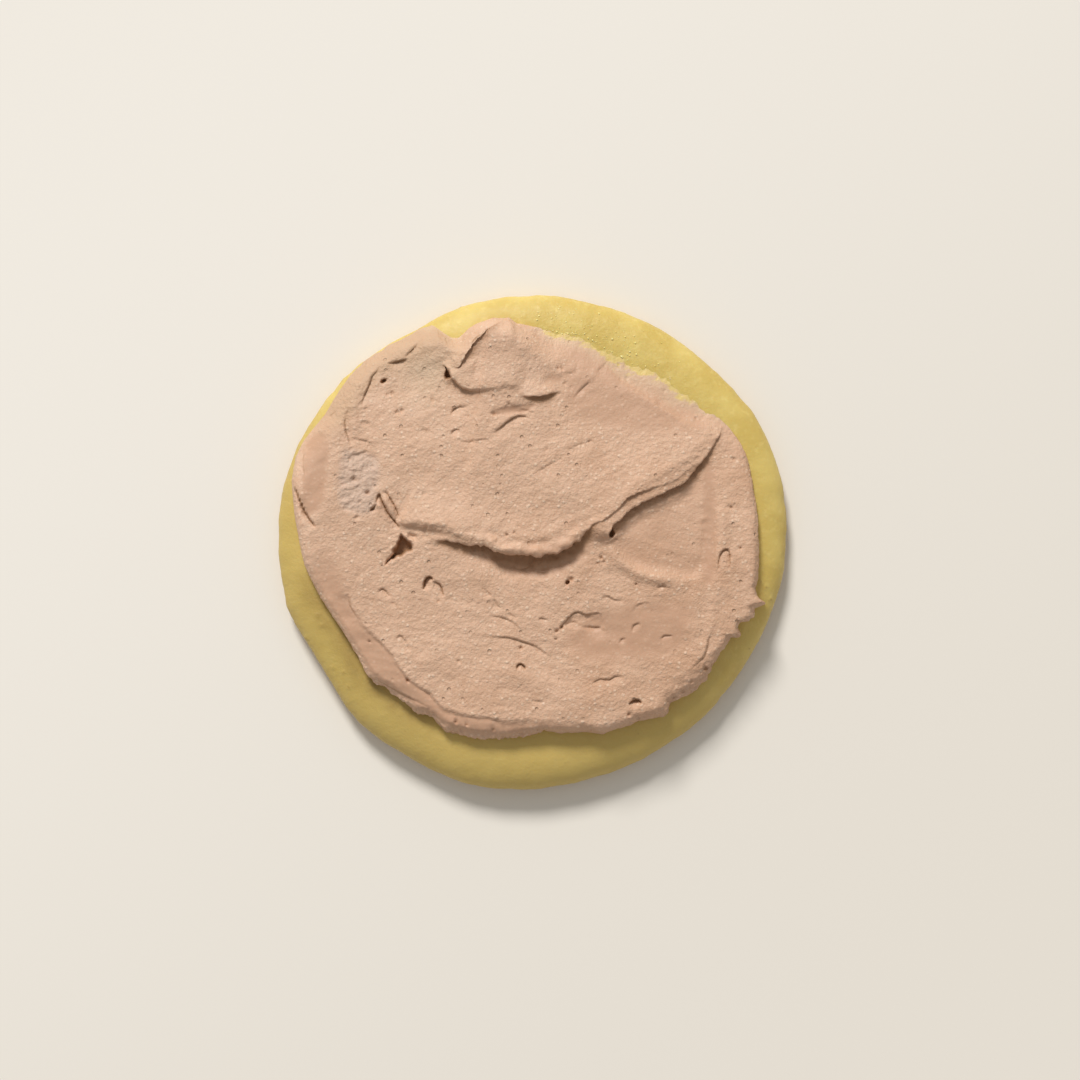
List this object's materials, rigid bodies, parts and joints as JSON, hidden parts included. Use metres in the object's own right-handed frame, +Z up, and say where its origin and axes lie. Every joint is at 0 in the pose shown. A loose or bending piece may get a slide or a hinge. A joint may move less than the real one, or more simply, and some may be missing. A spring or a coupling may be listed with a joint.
{
  "type": "iced sugar cookie",
  "caption": "Round pale sugar cookie with a rounded edge and a thick, roughly spread coat of pinkish buttercream that stops short of the rim.",
  "frame": {"origin": "on the surface that the cookie rests on, under the middle of its bounding box", "axes": "+Z up through the cookie's thickness; seen from above +X is right and +Y is the side where the icing is scraped thin"},
  "size_m": [0.0902, 0.0878, 0.0131],
  "materials": {
    "biscuit": "soft pale baked dough, matte with a faint waxy sheen",
    "icing": "crusted pinkish buttercream, matte, fine granular and wrinkled"
  },
  "bodies": {
    "root": {"biscuit": "biscuit", "icing": "icing"}
  },
  "joints": []
}
